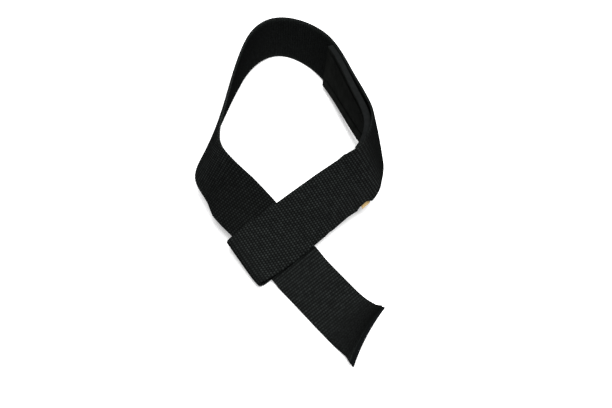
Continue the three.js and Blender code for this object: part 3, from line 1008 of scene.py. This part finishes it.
class STRAP_OT_sew_seams(bpy.types.Operator):
    """Sew the rows of stitches that hold the eye shut and the pad on"""

    bl_idname = "strap.sew_seams"
    bl_label = "Sew the seams"

    # A stitch reaches this far to each side of its middle, as a share of the step to the next one
    HALF_STITCH = 0.42
    # Pulled tight, the thread is this share as high as it is wide
    PULLED_FLAT = 0.75
    # The seams along the pad lie this much deeper than the surface
    SUNK = 0.1

    def execute(self, context):
        props = context.scene.strap_thread
        drop_old("seams")
        bm = bmesh.new()
        face = STRAP_THICK / 2
        pull = context.scene.strap_webbing.seam_pull / MM
        under_start = COURSE.length + COURSE.fold_length
        for back in SEAMS_ACROSS.values():
            for run in (COURSE.length - back, under_start + back):
                self.row(bm, props, (run, -SEAM_REACH), (run, SEAM_REACH), face - pull)
        groove = context.scene.strap_pad.groove_depth / MM
        pad_face = -(face + SEAM_GAP + PAD_THICK - groove - self.SUNK)
        for seam in SEAMS_ALONG.values():
            far, near = (PAD_FAR + SEAM_INSET, seam.far), (PAD_NEAR - SEAM_INSET, seam.near)
            for lift in (face - self.SUNK, pad_face):
                self.row(bm, props, far, near, lift)
        finished(bm, "seams", [thread_material(props)])
        return {"FINISHED"}

    def row(self, bm, props, start, end, lift):
        """Stitches in a line from one place on the flat webbing to another, each sunk by half."""
        start, end = np.array(start), np.array(end)
        count = max(1, round(np.linalg.norm(end - start) * MM / (props.stitch + props.gap)))
        ways = (end - start) / count
        for i in range(count):
            middle = start + ways * (i + 0.5)
            half = ways * self.HALF_STITCH
            run, aside = np.array([middle - half, middle, middle + half]).T
            low = COURSE.lay(run, aside, np.full(3, float(lift)))
            high = COURSE.lay(run, aside, np.full(3, lift + math.copysign(0.5, lift)))
            along = Vector(low[2] - low[0])
            out = Vector(high[1] - low[1]).normalized()
            side = out.cross(along.normalized())
            turned = Matrix((along.normalized(), side, out)).transposed().to_4x4()
            size = (along.length * MM, props.thickness, props.thickness * self.PULLED_FLAT, 1)
            matrix = Matrix.Translation(Vector(low[1]) * MM) @ turned @ Matrix.Diagonal(size)
            matrix = matrix @ Matrix.Rotation(math.pi / 2, 4, "Y")
            bmesh.ops.create_uvsphere(bm, u_segments=8, v_segments=6, radius=0.5, matrix=matrix)


class STRAP_OT_sew_tab(bpy.types.Operator):
    """Cut the tab from tape and tuck it in between the two layers"""

    bl_idname = "strap.sew_tab"
    bl_label = "Cut and sew the tab"

    CELLS = (12, 20)
    RIM = 0.3
    # Its outer edge is frayed over this width: how far, how fast that changes, and the share it is thinned by
    FRAYED_WIDTH = 1.2
    FRAY = 0.35
    FRAY_RATE = 5.1
    FRAY_THINNED = 0.3

    def execute(self, context):
        props = context.scene.strap_tab
        drop_old("tab")
        width = TAB_SHOWS + TAB_TUCKED
        bm = cut_out(TAB_LENGTH, width, TAB_THICK, self.CELLS, self.RIM)
        map_cut(bm)
        flat = vertex_array(bm)
        middle = (flat[:, 2].min() + flat[:, 2].max()) / 2
        lean = TAB_LEAN * (0.5 - flat[:, 1] / width)
        run = COURSE.raw_end + TAB_TO_RAW_END + TAB_LENGTH / 2 + flat[:, 0] + lean
        aside = -STRAP_WIDTH / 2 - TAB_SHOWS + width / 2 + flat[:, 1] - TAB_DRAWN_OUT * lean
        frayed = 1 - smoothstep(flat[:, 1] + width / 2, 0, self.FRAYED_WIDTH)
        aside = aside + frayed * self.FRAY * np.sin(run * self.FRAY_RATE)
        thin = (flat[:, 2] - middle) * (1 - self.FRAY_THINNED * frayed)
        lift = -(STRAP_THICK / 2 + SEAM_GAP + TAB_THICK / 2) - thin
        place_vertices(bm, COURSE.lay(run, aside, lift) * MM)
        piece = finished(bm, "tab", [tape_material(props)])
        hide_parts("side_tab")
        return {"FINISHED"}


class STRAP_OT_set_stage(bpy.types.Operator):
    """Lay the pale floor and light the strap softly from above"""

    bl_idname = "strap.set_stage"
    bl_label = "Set the stage"

    # Metres and watts. The floor lies just under the strap, whose lowest selvedge dips a little.
    FLOOR_DEPTH = 0.2 * MM
    FLOOR_HALF = 3
    LAMP_PLACE = (0.15, -0.1, 1.1)
    LAMP_TARGET = (0.0, 0.0, 0.0)
    LAMP_SIZE = 0.8
    LAMP_POWER = 33.0
    SKY = 0.18

    def execute(self, context):
        props = context.scene.strap_stage
        for name in ("floor", "overhead"):
            drop_old(name)
        bm = bmesh.new()
        bmesh.ops.create_grid(bm, x_segments=8, y_segments=8, size=self.FLOOR_HALF)
        mesh = bpy.data.meshes.new("floor")
        bm.to_mesh(mesh)
        bm.free()
        floor = bpy.data.objects.new("floor", mesh)
        floor.location.z = -self.FLOOR_DEPTH
        mesh.materials.append(floor_material(props))
        context.scene.collection.objects.link(floor)
        self.hang_lamp("overhead")
        world = bpy.data.worlds.get("studio") or bpy.data.worlds.new("studio")
        world.use_nodes = True
        background = world.node_tree.nodes["Background"]
        background.inputs["Color"].default_value = (1, 1, 1, 1)
        background.inputs["Strength"].default_value = self.SKY
        context.scene.world = world
        # The plain transform keeps the black cloth black and the floor white, as a studio print does
        context.scene.view_settings.view_transform = "Standard"
        return {"FINISHED"}

    def hang_lamp(self, name):
        """The one soft lamp, which faces its target."""
        lamp = bpy.data.lights.new(name, "AREA")
        lamp.shape = "DISK"
        lamp.size = self.LAMP_SIZE
        lamp.energy = self.LAMP_POWER
        light = bpy.data.objects.new(name, lamp)
        light.location = self.LAMP_PLACE
        way = Vector(self.LAMP_TARGET) - Vector(self.LAMP_PLACE)
        light.rotation_euler = way.to_track_quat("-Z", "Y").to_euler()
        bpy.context.scene.collection.objects.link(light)


class VIEW3D_PT_strap(bpy.types.Panel):
    """Lists the strap's sizes, colours and steps"""

    bl_label = "Weightlifting strap"
    bl_idname = "VIEW3D_PT_strap"
    bl_space_type = "VIEW_3D"
    bl_region_type = "UI"
    bl_category = "Strap"

    def draw(self, context):
        for step, group in STEPS:
            box = self.layout.box()
            box.operator(step.bl_idname)
            settings = getattr(context.scene, group)
            for name in settings.__annotations__:
                box.prop(settings, name)


GROUPS = {
    "strap_webbing": WebbingProperties,
    "strap_pad": PadProperties,
    "strap_thread": ThreadProperties,
    "strap_tab": TabProperties,
    "strap_stage": StageProperties,
}
STEPS = (
    (STRAP_OT_set_camera, "strap_stage"),
    (STRAP_OT_weave_webbing, "strap_webbing"),
    (STRAP_OT_sew_pad, "strap_pad"),
    (STRAP_OT_sew_seams, "strap_thread"),
    (STRAP_OT_sew_tab, "strap_tab"),
    (STRAP_OT_set_stage, "strap_stage"),
)
CLASSES = (*GROUPS.values(), *(step for step, _ in STEPS), VIEW3D_PT_strap)


def register():
    for item in CLASSES:
        bpy.utils.register_class(item)
    for name, group in GROUPS.items():
        setattr(bpy.types.Scene, name, PointerProperty(type=group))


def unregister():
    for name in GROUPS:
        delattr(bpy.types.Scene, name)
    for item in reversed(CLASSES):
        bpy.utils.unregister_class(item)


def main():
    register()
    bpy.ops.strap.set_camera()
    bpy.ops.strap.weave_webbing()
    bpy.ops.strap.sew_pad()
    bpy.ops.strap.sew_seams()
    bpy.ops.strap.sew_tab()
    bpy.ops.strap.set_stage()


if __name__ == "__main__":
    main()
